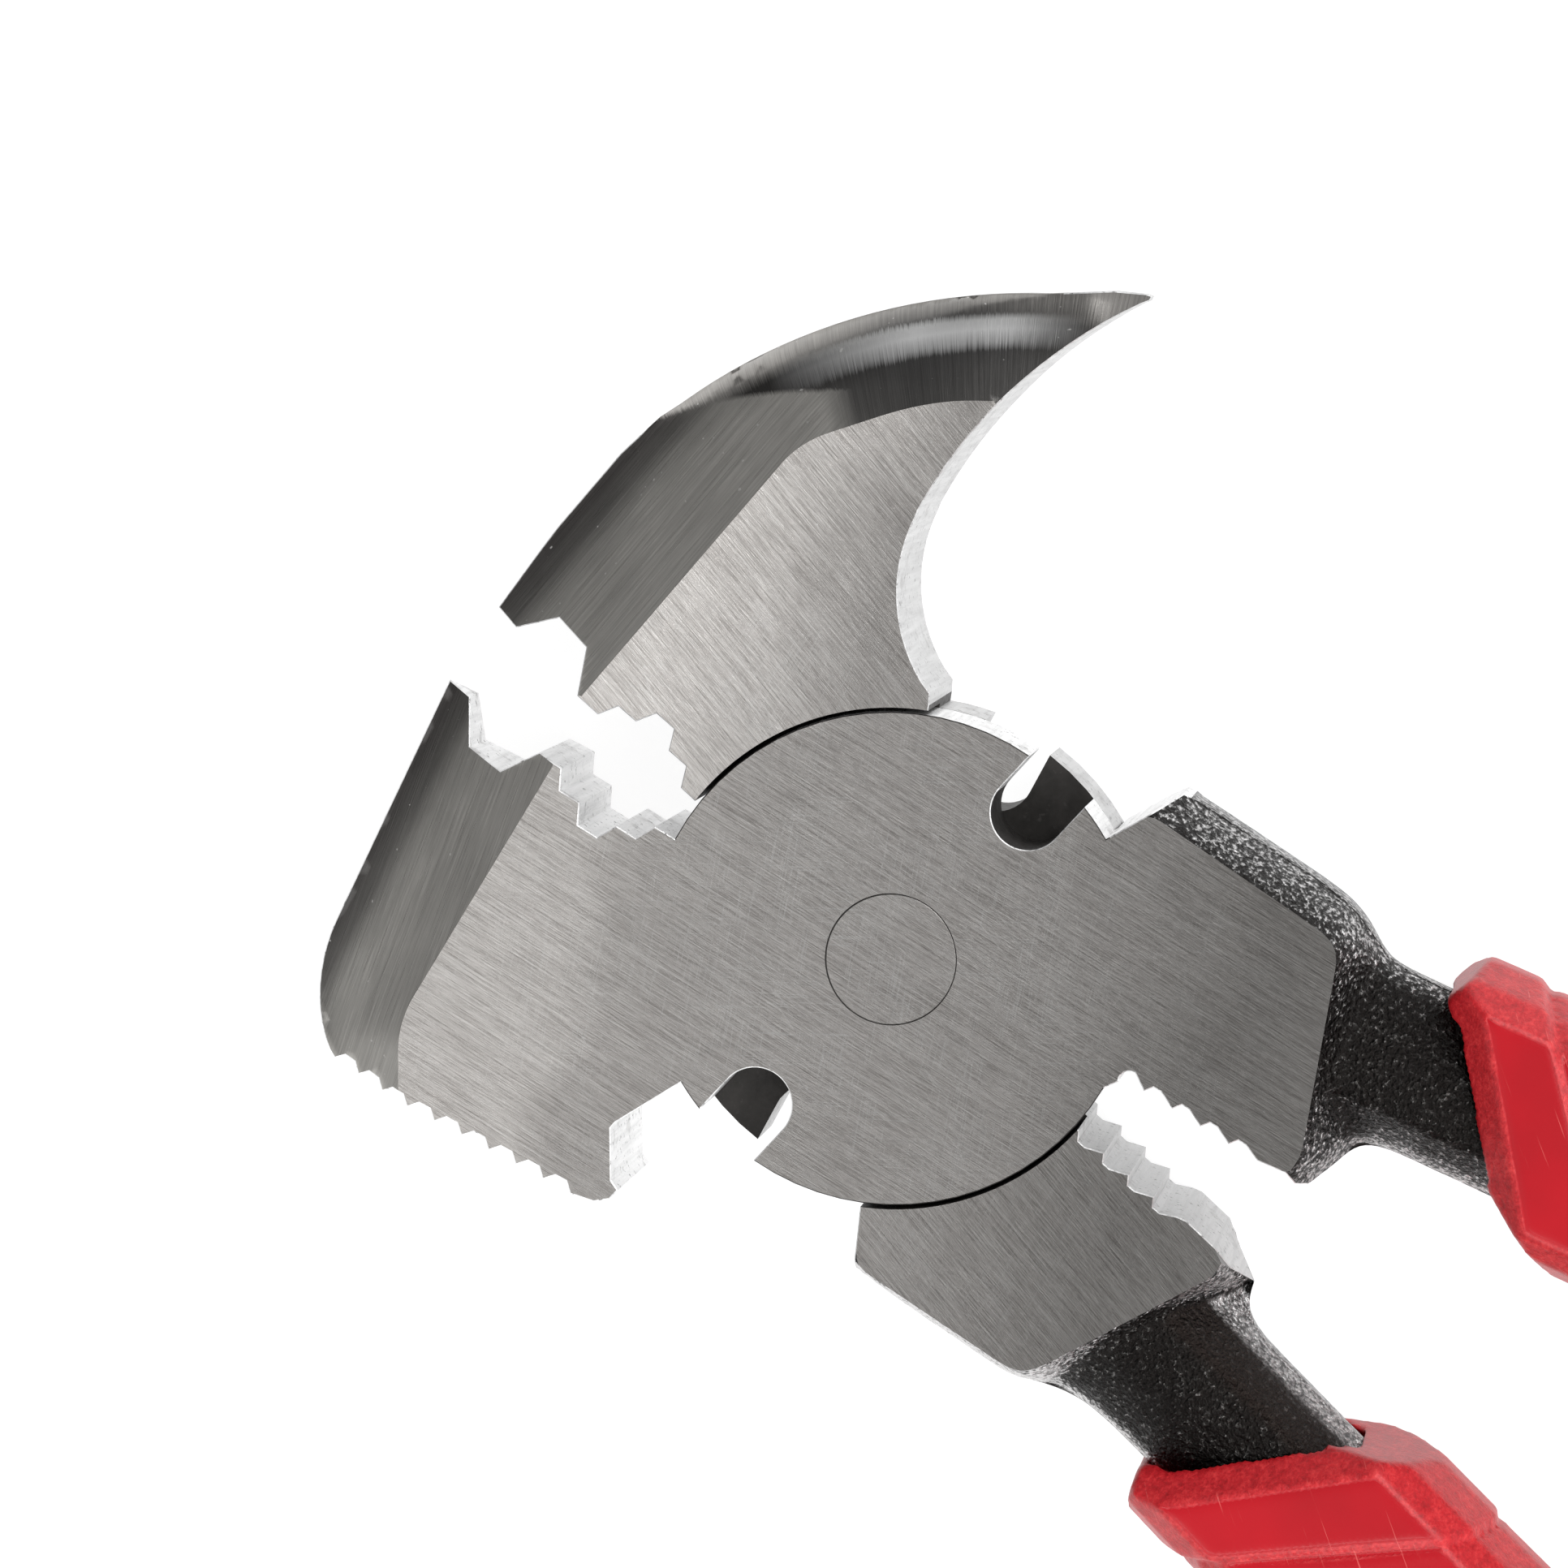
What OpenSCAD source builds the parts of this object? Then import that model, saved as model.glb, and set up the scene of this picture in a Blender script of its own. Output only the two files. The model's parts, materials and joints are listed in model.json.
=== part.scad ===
// Fencing pliers: hammer head, staple claw, pipe-and-wire jaw, two shear
// cutters at the joint, and two moulded comfort grips.
//
// Frame: origin on the pivot axis at the back face, +Z along the pivot axis,
// +Y towards the jaws. The hammer half is fixed. The claw half is drawn with
// the jaws shut and turned open about the pivot by open_angle.

/* [Head] */
// Thickness of the ground head, face to face
head_t = 16; // [14:0.5:18]
// Angle by which the jaws stand open from shut
open_angle = 9.5; // [0:0.5:45]
// Distance from the pivot to the jaw end
jaw_end_y = 44; // [43:0.5:46]
// Slope of the long outer bevels, fall over run
bevel_slope = 0.6; // [0.4:0.02:0.62]
// Slope of the narrow band along the outer edges
edge_slope = 0.95; // [0.7:0.05:1]

/* [Joint] */
// Radius of each half's joint disc
disc_r = 20.3; // [19.8:0.1:20.8]
// Gap round each joint disc
disc_gap = 0.35; // [0.3:0.05:0.5]
// Gap between the two lapped plates
lap_gap = 0.1; // [0.06:0.02:0.2]
// Radius of the pivot rivet's shank
rivet_r = 4.8; // [4:0.1:5.2]
// Radius of the rivet's flush ends
rivet_head_r = 5.4; // [5.3:0.1:6]
// Radial running clearance of the claw half on the rivet
pivot_clearance = 0.05; // [0.02:0.01:0.1]

/* [Cutters] */
// Width of each shear notch
notch_w = 6.1; // [5:0.1:6.4]
// Distance from the pivot to the bottom of each notch
notch_root = 13.5; // [12.5:0.1:14.5]

/* [Jaws] */
// Gap between the jaw faces when shut
jaw_gap = 0.2; // [0.1:0.05:0.4]
// Sideways depth of one step of the stepped jaw
step_d = 1.65; // [1.2:0.05:1.8]
// Pitch of the steps along the jaw
step_pitch = 2.75; // [2.6:0.05:2.8]
// Depth of the six-sided nut jaw in each half
hex_d = 3.3; // [2.5:0.1:3.6]

/* [Teeth] */
// Pitch of the waffle on the hammer face
waffle_pitch = 2.5; // [2.3:0.1:2.6]
// Depth of the waffle
waffle_d = 0.8; // [0.4:0.1:1]
// Pitch of the wire-grip teeth behind the joint
wire_pitch = 2.7; // [2.5:0.1:2.8]
// Depth of the wire-grip teeth
wire_d = 0.7; // [0.4:0.1:0.9]

/* [Handles] */
// Width of the forged shank
shank_w = 14; // [12:0.5:15]
// Thickness of the forged shank
shank_t = 13; // [11:0.5:14]
// Width of the tang inside the grip
tang_w = 11.5; // [9:0.5:12]
// Thickness of the tang inside the grip
tang_t = 9; // [7:0.5:10]
// Length of a grip along its curve, from its mouth
grip_l = 174; // [150:2:190]
// Radius of a handle's inward curve
bend_r = 720; // [600:20:1200]

/* [Grips] */
// Width of a grip
grip_w = 21; // [19:0.5:23]
// Thickness of a grip
grip_t = 18; // [17:0.5:20]
// Height of the guard collar over the grip
collar_step = 0.4; // [0.2:0.1:0.8]

/* [Hidden] */
steel = "silver";
red = "firebrick";
black = "dimgray";
$fn = 96;

mid_z = head_t / 2;
part_x = -1;                       // the jaws meet on this line
cut_r = disc_r + disc_gap;         // each half is cleared to this radius
over = 1;                          // run past a face
far = 90;                          // longer than any bevelled face

// Handle axes where the grips start: place and outward lean
hammer_axis = [15, -46];
hammer_lean = 7;
claw_axis = [-11.8, -48.5];
claw_lean = 4;
curve_lean = 1.2;                  // extra lean where the curve starts

// ---------------------------------------------------------------- helpers

function arc(c, r, from, to, steps) =
    [for (i = [0:steps])
        let (a = from + (to - from) * i / steps) c + r * [cos(a), sin(a)]];

// Copies what is drawn for the front face to the back face
module both_faces() {
    children();
    translate([0, 0, head_t]) mirror([0, 0, 1]) children();
}

// Everything above a plane that leaves the face z = level at point p and
// falls at the given slope towards the plan direction dir
module falling_plane(p, dir, slope, level = head_t) {
    translate([p[0], p[1], level]) rotate([0, 0, dir])
        rotate([0, atan(slope), 0])
            translate([-far / 2, -far, 0]) cube([2 * far, 2 * far, far]);
}

// A plate of the given outline, full thickness
module plate(outline) {
    linear_extrude(head_t) polygon(outline);
}

// Joint disc of one half, and the space that its other half leaves for it
module front_disc() {
    translate([0, 0, mid_z + lap_gap / 2])
        cylinder(r = disc_r, h = mid_z - lap_gap / 2);
}
module back_disc() {
    cylinder(r = disc_r, h = mid_z - lap_gap / 2);
}
module front_space() {
    translate([0, 0, mid_z - lap_gap / 2]) cylinder(r = cut_r, h = head_t);
}
module back_space() {
    translate([0, 0, -over])
        cylinder(r = cut_r, h = mid_z + lap_gap / 2 + over);
}

// Round-bottomed shear notches, one each side of the pivot
module notches(dir) {
    for (turn = [0, 180])
        rotate([0, 0, dir + turn])
            translate([notch_root + notch_w / 2, 0, -over]) {
                cylinder(d = notch_w, h = head_t + 2 * over);
                translate([0, -notch_w / 2, 0])
                    cube([1.5 * notch_w, notch_w, head_t + 2 * over]);
            }
}

// ------------------------------------------------------------------- jaws

// Depth of the jaw cut and place along the jaw, from the joint to the tip:
// a stepped oval for pipe and wire, a land, then half of a six-sided cut
step_y = 22.2;
ramp = 0.85;
hex_y = [33.6, 35.75, 39.25, 41.6];
jaw_steps = [0, 1, 2, 1, 0];
jaw_cut = concat(
    [for (k = [0:3]) each [
        [jaw_steps[k] * step_d, step_y + k * step_pitch],
        [jaw_steps[k + 1] * step_d, step_y + k * step_pitch + ramp]]],
    [[0, hex_y[0]], [hex_d, hex_y[1]], [hex_d, hex_y[2]], [0, hex_y[3]]],
    [[0, jaw_end_y]]);

// side is 1 for the claw half and -1 for the hammer half
function jaw_edge(side) =
    [for (p = jaw_cut) [part_x + side * (jaw_gap / 2 + p[0]), p[1]]];

// ------------------------------------------------------------ hammer head

// The striking face runs from its outer to its inner end
face_out = [-32.7, 35.4];
face_in = [-30.9, 12.4];
face_n = 9;
face_dir = (face_in - face_out) / norm(face_in - face_out);
face_normal = [-face_dir[1], face_dir[0]];   // points into the head

function face_tip(i) =
    face_out + (face_in - face_out) * i / face_n;
face_teeth = [for (i = [0:face_n - 1]) each [
    face_tip(i),
    face_tip(i + 0.3) + face_normal * waffle_d,
    face_tip(i + 0.7) + face_normal * waffle_d]];

hammer_outline = concat(
    [[part_x, 17]], jaw_edge(-1),
    arc([-22.3, 29.9], 11.9, 96, 148, 10),
    face_teeth,
    [face_in, [-30.4, 10.4], [-29.5, 9.4], [-28.5, 9.2], [-28.1, 10.1],
     [-24.9, 12.1], [-24.4, 12.4], [-23.8, 12.3], [-15, 7.9]]);

// Grooves across the striking face, which make the waffle
module face_grooves() {
    rows = 6;
    turn = atan2(face_dir[1], face_dir[0]);
    for (i = [0:rows - 1])
        translate([face_out[0], face_out[1],
                   mid_z + (i - (rows - 1) / 2) * waffle_pitch])
            rotate([0, 0, turn]) rotate([90, 0, 90])
                translate([0, 0, -over])
                    linear_extrude(norm(face_in - face_out) + over)
                        polygon([[-over, -waffle_d - over / 2],
                                 [waffle_d, 0],
                                 [-over, waffle_d + over / 2]]);
}

// Bevels round the hammer's outer edge, for one face
module hammer_bevels() {
    falling_plane([0, 32], 90, bevel_slope);
    falling_plane([-27.3, 31.5], 121.5, bevel_slope);
    falling_plane([-9, 41], 95, edge_slope, head_t - bevel_slope * 9.1);
}

// --------------------------------------------------------------- claw head

claw_tip = [[52.6, 22.4], [54.1, 20.3], [54.3, 19.8], [53.9, 19.7]];
claw_outline = concat(
    [[part_x, 17]], jaw_edge(1),
    [for (b = [[5, 0.5], [10, 0.8], [15, 0.7], [20, 0.1]])
        [b[0], jaw_end_y + b[1]]],
    arc([10.3, -4.5], 49.4, 76.2, 38.8, 20),
    claw_tip,
    arc([37.5, -17], 40.25, 67, 101.9, 16),
    arc([32, 8.8], 13.8, 104, 162, 14),
    [[18.6, 11.9], [17.8, 11.3], [10, 6.2]]);

// Bevels along the claw's back and round its horn, for one face
module claw_bevels() {
    falling_plane([0, 33.3], 90, bevel_slope);
    falling_plane([27, 33.3], 59, 0.68);
    falling_plane([36.3, 27.9], 40, 0.55);
    falling_plane([46.5, 22], 0, 0.92);
    falling_plane([0, 42], 90, edge_slope, head_t - bevel_slope * 8.8);
}

// --------------------------------------------------------- handle blocks

// Each block is the forging between the joint and the shank. Its ground
// outline is what the two flat faces show, and its middle outline is the
// wider, rough forging at mid thickness.
forged_h = 7;
hammer_ground = [[12, -6.6], [21.45, -11.75], [20.7, -28.8], [20.2, -30.2],
                 [19.2, -30.9], [4.2, -36.8], [0, -36.4], [0, -19]];
hammer_middle = [[12, -6.6], [23.8, -13.1], [23.4, -29.3], [22.7, -31.6],
                 [21.2, -33.8], [5.2, -40.2], [1.8, -39.2], [0, -19]];
claw_ground = [[-12, -8], [-17.3, -11.8], [-20.7, -14.1], [-21, -15.1],
               [-19, -29.4], [-18.3, -30.6], [-17, -31.3], [-2, -36.8],
               [0, -36.3], [0, -19]];
claw_middle = [[-12, -8], [-17.3, -11.8], [-21.9, -14.8], [-22.2, -15.7],
               [-20.6, -30.2], [-19.9, -32.2], [-18.3, -34.7],
               [-4.6, -40.8], [-1.3, -40], [0, -37], [0, -19]];

module handle_block(ground, middle) {
    hull() {
        linear_extrude(head_t) polygon(ground);
        translate([0, 0, mid_z - forged_h / 2])
            linear_extrude(forged_h) polygon(middle);
    }
}

// Outline of the wire-grip gap beside a block. The teeth start at y = top and
// their tips stand at x = tip. side is 1 for teeth that point to -X.
function wire_teeth(tip, top, count, side) =
    [for (i = [0:count - 1]) each [
        [tip, top - i * wire_pitch],
        [tip + side * wire_d, top - i * wire_pitch - 0.5],
        [tip + side * wire_d, top - i * wire_pitch - 1.2]]];

hammer_wire = concat(
    [[-8, -17], [0.2, -17], [0.2, -20.2]],
    arc([1.9, -21.8], 0.9, 120, 0, 6),
    wire_teeth(1.9, -23.2, 4, 1),
    [[2, -34], [2.4, -36.4], [1.8, -37.6], [2.1, -39], [3.2, -39.6],
     [3.2, -44], [-8, -44]]);
claw_wire = concat(
    [[8, -17], [-0.3, -17]],
    wire_teeth(-0.3, -20.8, 4, -1),
    [[-0.25, -31.4], [0, -32.2], [-0.1, -35.4], [-0.9, -37.5],
     [-1.4, -40], [-2.8, -40.7], [-2.8, -44], [8, -44]]);

module gap_cut(outline) {
    translate([0, 0, -over]) linear_extrude(head_t + 2 * over)
        difference() {
            polygon(outline);
            circle(r = disc_r);
        }
}

// ---------------------------------------------------------------- handles

// Places a handle's own frame, in which it runs along -Y from its origin
// and +X is its outer side, at mid thickness
module on_hammer_side() {
    translate([hammer_axis[0], hammer_axis[1], mid_z])
        rotate([0, 0, hammer_lean]) children();
}
module on_claw_side() {
    translate([claw_axis[0], claw_axis[1], mid_z])
        rotate([0, 0, -claw_lean]) mirror([1, 0, 0]) children();
}

// Sweeps a section along the handle's curve, whose centre is on the inner
// side. Places on it are lengths along the curve, negative towards the tail.
function turn_at(place) = place / bend_r * 180 / PI;
module on_curve(place) {
    rotate([0, 0, curve_lean]) translate([-bend_r, 0, 0])
        rotate([0, 0, turn_at(place)]) children();
}
module sweep(from, to) {
    on_curve(to) rotate_extrude(angle = turn_at(from - to), $fn = 360)
        translate([bend_r, 0]) children();
}
module at_butt() {
    on_curve(-grip_l) translate([bend_r, 0, 0]) children();
}
module straight_run(from, to) {
    translate([0, from, 0]) rotate([90, 0, 0])
        linear_extrude(from - to) children();
}

// Eight-sided section, w wide and t thick, with chamfers cx by cy
module chamfered(w, t, cx, cy) {
    x = w / 2;
    y = t / 2;
    polygon([[x, y - cy], [x - cx, y], [cx - x, y], [-x, y - cy],
             [-x, cy - y], [cx - x, -y], [x - cx, -y], [x, cy - y]]);
}

shank_end = -12;
grip_cap = 9;                      // solid grip beyond the tang

module shank() {
    straight_run(11, shank_end)
        chamfered(shank_w, shank_t, 1.7, 3.2);
    sweep(shank_end + 1, grip_cap - grip_l)
        chamfered(tang_w, tang_t, 1, 1);
}

// ------------------------------------------------------------------ grips

// Section of a grip, grown by g all round
module grip_section(g = 0) {
    x = grip_w / 2 + g;
    y = grip_t / 2 + g;
    polygon([for (s = [[1, 1], [-1, 1], [-1, -1], [1, -1]])
        let (half = [[x, 1.5], [x - 1.4, y - 2.7], [x - 3.4, y]],
             pts = s[0] * s[1] > 0 ? half : [half[2], half[1], half[0]])
            each [for (p = pts) [s[0] * p[0], s[1] * p[1]]]]);
}

// Plan outline of the slanted mouth, open towards the tail
mouth = [[7, 5.3], [10.3, 3.6], [16, 0.5], [16, -230], [-60, -230],
         [-60, -30], [-13.6, -18], [-10.2, -11], [-5.5, -3.8]];
// The guard collar ends along this slanted line
collar_edge = [[14, 0.4], [-14, -21.6], [-14, 20], [14, 20]];

module mouth_cut() {
    translate([0, 0, -grip_t]) linear_extrude(2 * grip_t) polygon(mouth);
}

// Flats that fall from the grip's faces to its rim and to its butt end
module rim_cuts() {
    for (flip = [0, 1]) mirror([0, 0, flip]) {
        falling_plane([0, -3.2], 125, 1.15, grip_t / 2 + collar_step);
        at_butt() falling_plane([0, 7], -90, 0.9, grip_t / 2);
    }
}
module butt_cuts() {
    at_butt() for (s = [0, 1]) mirror([s, 0, 0])
        translate([grip_w / 2, 6, -grip_t]) rotate([0, 0, -125])
            cube([30, 30, 2 * grip_t]);
}

module grip_body() {
    difference() {
        union() {
            sweep(20, -grip_l) grip_section();
            intersection() {
                sweep(20, -44) grip_section(collar_step);
                translate([0, 0, -grip_t])
                    linear_extrude(2 * grip_t) polygon(collar_edge);
            }
        }
        difference() {
            translate([-60, -40, -grip_t]) cube([120, 70, 2 * grip_t]);
            mouth_cut();
        }
        rim_cuts();
        butt_cuts();
    }
}

// Soft panel let into the outer side of a grip, from start to stop
inlay_start = -34;
inlay_stop = -136;
module inlay_section() {
    x = grip_w / 2 + 0.3;
    polygon([[x - 2.1, 7], [x - 1.3, 6.2], [x, 1.6], [x, -1.6],
             [x - 1.3, -6.2], [x - 2.1, -7], [x - 3.4, -5.4],
             [x - 2.3, -1], [x - 2.3, 1], [x - 3.4, 5.4]]);
}
module inlay() {
    sweep(inlay_start, inlay_stop) inlay_section();
}

// ------------------------------------------------------------------ nodes

module hammer_half() {
    color(steel)
    difference() {
        union() {
            difference() {
                plate(hammer_outline);
                both_faces() hammer_bevels();
            }
            handle_block(hammer_ground, hammer_middle);
            front_disc();
            on_hammer_side() shank();
        }
        back_space();
        notches(-11.3);
        face_grooves();
        gap_cut(hammer_wire);
        rivet_hole(rivet_r, 0);
    }
}

module claw_half() {
    color(steel)
    rotate([0, 0, -open_angle])
    difference() {
        union() {
            difference() {
                plate(claw_outline);
                both_faces() claw_bevels();
            }
            handle_block(claw_ground, claw_middle);
            back_disc();
            on_claw_side() shank();
        }
        front_space();
        notches(12.6);
        gap_cut(claw_wire);
        rivet_hole(rivet_r + pivot_clearance, pivot_clearance);
    }
}

// Through hole with a shallow countersink at each face
sink_d = rivet_head_r - rivet_r;
module rivet_hole(r, grow) {
    translate([0, 0, -over]) cylinder(r = r, h = head_t + 2 * over);
    both_faces()
        translate([0, 0, head_t - sink_d])
            cylinder(r1 = r, r2 = rivet_head_r + grow, h = sink_d + 0.001);
}

module pivot_rivet() {
    color(steel) {
        cylinder(r = rivet_r, h = head_t);
        both_faces()
            translate([0, 0, head_t - sink_d])
                cylinder(r1 = rivet_r, r2 = rivet_head_r, h = sink_d);
    }
}

module hammer_grip() {
    color(red)
    on_hammer_side() difference() {
        grip_body();
        shank();
        inlay();
    }
}

module claw_grip() {
    color(red)
    rotate([0, 0, -open_angle]) on_claw_side() difference() {
        grip_body();
        shank();
        inlay();
    }
}

module hammer_grip_inlay() {
    color(black) on_hammer_side() inlay();
}

module claw_grip_inlay() {
    color(black) rotate([0, 0, -open_angle]) on_claw_side() inlay();
}

hammer_half();
claw_half();
pivot_rivet();
hammer_grip();
claw_grip();
hammer_grip_inlay();
claw_grip_inlay();
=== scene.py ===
import bpy, bmesh, json, math
import numpy as np
from mathutils import Matrix, Vector, noise
from mathutils.geometry import delaunay_2d_cdt


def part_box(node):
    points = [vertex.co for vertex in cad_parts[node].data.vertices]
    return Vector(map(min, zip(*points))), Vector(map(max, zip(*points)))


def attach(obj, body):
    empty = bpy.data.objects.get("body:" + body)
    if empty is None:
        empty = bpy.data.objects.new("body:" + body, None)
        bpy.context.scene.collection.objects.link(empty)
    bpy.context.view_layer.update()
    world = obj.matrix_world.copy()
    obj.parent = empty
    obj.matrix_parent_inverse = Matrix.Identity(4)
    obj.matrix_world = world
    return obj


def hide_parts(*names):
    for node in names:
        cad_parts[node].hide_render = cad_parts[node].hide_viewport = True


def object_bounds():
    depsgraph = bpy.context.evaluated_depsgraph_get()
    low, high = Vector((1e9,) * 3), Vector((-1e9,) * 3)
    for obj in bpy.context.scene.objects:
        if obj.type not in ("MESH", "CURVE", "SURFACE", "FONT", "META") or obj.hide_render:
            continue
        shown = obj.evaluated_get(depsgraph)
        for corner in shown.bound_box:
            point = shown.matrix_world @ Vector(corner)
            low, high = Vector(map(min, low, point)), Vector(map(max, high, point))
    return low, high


# Fencing pliers. Lengths inside the mesh code are millimetres in the row frame, and
# become metres when a mesh is made. The claw half is shaped with the jaws shut.

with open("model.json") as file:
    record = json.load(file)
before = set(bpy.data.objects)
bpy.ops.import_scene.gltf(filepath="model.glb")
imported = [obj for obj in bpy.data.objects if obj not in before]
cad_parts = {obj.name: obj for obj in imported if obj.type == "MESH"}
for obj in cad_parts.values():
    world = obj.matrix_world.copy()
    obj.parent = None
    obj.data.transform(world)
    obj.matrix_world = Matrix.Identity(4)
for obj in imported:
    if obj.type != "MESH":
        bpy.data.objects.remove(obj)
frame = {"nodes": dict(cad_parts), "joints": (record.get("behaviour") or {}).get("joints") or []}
cad_lo, cad_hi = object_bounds()
JOINT = frame["joints"][0]
SHUT = math.radians(JOINT["range_deg"][0])          # from rest to shut, about the joint's axis
TURN = -SHUT * JOINT["axis"][2]                     # shut place -> rest place, about +Z
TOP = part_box("pivot_rivet")[1].z * 1000
MID = TOP / 2
DISC_R = 20.3                                       # round plate of the lap joint
CUT_R = 20.65                                       # recess that it turns in


# ------------------------------------------------------------------ geometry helpers

def unit(v):
    return v / np.maximum(np.linalg.norm(v, axis=-1, keepdims=True), 1e-12)


def turned(p, a):
    c, s = math.cos(a), math.sin(a)
    out = np.array(p, float)
    out[..., 0], out[..., 1] = c * p[..., 0] - s * p[..., 1], s * p[..., 0] + c * p[..., 1]
    return out


def smax(a, b, k):
    """The larger of two values, blended where they differ by less than k."""
    h = np.maximum(k - np.abs(a - b), 0) / k
    return np.maximum(a, b) + h * h * k / 4


def seg_distance(p, a, b):
    """Distance from each point to the nearest segment, and which segment that is."""
    best = np.full(len(p), 1e9)
    which = np.zeros(len(p), int)
    ab = b - a
    l2 = np.maximum((ab ** 2).sum(1), 1e-12)
    for i in range(0, len(p), 4000):
        q = p[i:i + 4000]
        t = np.clip(((q[:, None] - a[None]) * ab[None]).sum(2) / l2, 0, 1)
        d = np.linalg.norm(q[:, None] - (a[None] + t[..., None] * ab[None]), axis=2)
        which[i:i + 4000] = d.argmin(1)
        best[i:i + 4000] = d.min(1)
    return best, which


def inside(p, loops):
    """Even-odd test against closed loops."""
    odd = np.zeros(len(p), bool)
    for lp in loops:
        a, b = lp, np.roll(lp, -1, 0)
        for (x0, y0), (x1, y1) in zip(a, b):
            if y0 == y1:
                continue
            hit = (y0 > p[:, 1]) != (y1 > p[:, 1])
            odd ^= hit & (p[:, 0] < x0 + (p[:, 1] - y0) * (x1 - x0) / (y1 - y0))
    return odd


def signed(p, poly):
    """Distance from a polygon, negative inside it."""
    d, _ = seg_distance(p, poly, np.roll(poly, -1, 0))
    return np.where(inside(p, [poly]), -d, d)


def loops_at(node, z):
    """Closed outlines of a CAD node at height z."""
    me = frame["nodes"][node].data
    me.calc_loop_triangles()
    co = np.array([v.co for v in me.vertices]) * 1000
    seen, ids = {}, np.empty(len(co), int)
    for i, p in enumerate(np.round(co, 4)):
        ids[i] = seen.setdefault(tuple(p), len(seen))
    pts = np.zeros((len(seen), 3))
    pts[ids] = co
    links = {}
    for t in me.loop_triangles:
        t = ids[list(t.vertices)]
        cut = [tuple(sorted((t[i], t[j]))) for i, j in ((0, 1), (1, 2), (2, 0))
               if (pts[t[i], 2] > z) != (pts[t[j], 2] > z)]
        if len(cut) == 2:
            links.setdefault(cut[0], []).append(cut[1])
            links.setdefault(cut[1], []).append(cut[0])
    out, used = [], set()
    for start in sorted(links):
        if start in used:
            continue
        lp, cur = [], start
        while cur is not None:
            used.add(cur)
            a, b = pts[cur[0]], pts[cur[1]]
            lp.append((a + (b - a) * (z - a[2]) / (b[2] - a[2]))[:2])
            cur = next((n for n in links[cur] if n not in used), None)
        out.append(np.array(lp))
    return out


def tidied(lp, tol=0.006):
    """Drops doubled points and points on straight runs, and runs the loop anticlockwise."""
    lp = lp[np.linalg.norm(lp - np.roll(lp, 1, 0), axis=1) > 0.02]
    while True:
        a, b = np.roll(lp, 1, 0), np.roll(lp, -1, 0)
        n = unit(b - a)
        off = np.abs((lp - a)[:, 0] * n[:, 1] - (lp - a)[:, 1] * n[:, 0])
        drop = off < tol
        drop[1:] &= ~drop[:-1]
        if not drop.any():
            break
        lp = lp[~drop]
    area = (lp[:, 0] * np.roll(lp[:, 1], -1) - np.roll(lp[:, 0], -1) * lp[:, 1]).sum()
    return lp if area > 0 else lp[::-1]


def densified(lp, step):
    """Splits each segment so that none is longer than step, a function of its middle."""
    out = []
    for a, b in zip(lp, np.roll(lp, -1, 0)):
        n = max(1, int(math.ceil(np.linalg.norm(b - a) / step((a + b) / 2) - 1e-6)))
        out += [a + (b - a) * i / n for i in range(n)]
    return np.array(out)


def relaxed(lp, loose, rounds):
    """Smooths the loose points of a closed loop."""
    lp = lp.copy()
    for _ in range(rounds):
        m = (np.roll(lp, 1, 0) + np.roll(lp, -1, 0)) / 2
        lp[loose] += 0.5 * (m - lp)[loose]
    return lp


def rough(p, size, seed):
    """Smooth noise at each point, with lumps of about that size."""
    return np.array([noise.noise(Vector((x / size + seed, y / size, z / size))) for x, y, z in p])


# ------------------------------------------------------------------ mesh helpers

def new_object(name, verts, faces, mats, index=None):
    """Object in metres from points in millimetres, with one material number per face."""
    me = bpy.data.meshes.new(name)
    faces = [tuple(map(int, f)) for f in faces]
    me.from_pydata([tuple(v) for v in np.asarray(verts) / 1000], [], faces)
    for m in mats:
        me.materials.append(m)
    if index is not None:
        me.polygons.foreach_set("material_index", np.asarray(index, np.int32))
    me.validate()
    o = bpy.data.objects.new(name, me)
    bpy.context.scene.collection.objects.link(o)
    return o


def settled(o):
    """Applies an object's modifiers to its mesh."""
    dg = bpy.context.evaluated_depsgraph_get()
    done = o.evaluated_get(dg)
    me = bpy.data.meshes.new_from_object(done, preserve_all_data_layers=True, depsgraph=dg)
    o.modifiers.clear()
    old, o.data = o.data, me
    bpy.data.meshes.remove(old)
    me.name = o.name


def cut(o, cutter):
    """Takes the cutter's solid out of an object, and deletes the cutter."""
    m = o.modifiers.new("cut", "BOOLEAN")
    m.operation, m.solver, m.object = "DIFFERENCE", "EXACT", cutter
    settled(o)
    bpy.data.objects.remove(cutter)


def lathe(name, profile, steps=128):
    """Closed solid turned about the Z axis from (radius, z) points, bottom to top."""
    v, f = [], []
    for r, z in profile:
        turns = [2 * math.pi * i / steps for i in range(steps)]
        v += [(r * math.cos(a), r * math.sin(a), z) for a in turns]
    for k in range(0, (len(profile) - 1) * steps, steps):
        for i in range(steps):
            j = (i + 1) % steps
            f.append((k + i, k + j, k + steps + j, k + steps + i))
    f.append(tuple(range(steps))[::-1])
    f.append(tuple((len(profile) - 1) * steps + i for i in range(steps)))
    return new_object(name, v, f, [])


def shade(o, angle=26, soft=()):
    """Smooth shading, with edges sharper than angle kept sharp unless both sides are soft."""
    bm = bmesh.new()
    bm.from_mesh(o.data)
    for f in bm.faces:
        f.smooth = True
    for e in bm.edges:
        if len(e.link_faces) == 2:
            both = all(f.material_index in soft for f in e.link_faces)
            e.smooth = both or e.calc_face_angle(0) < math.radians(angle)
    bm.to_mesh(o.data)
    bm.free()
    return o


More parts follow.
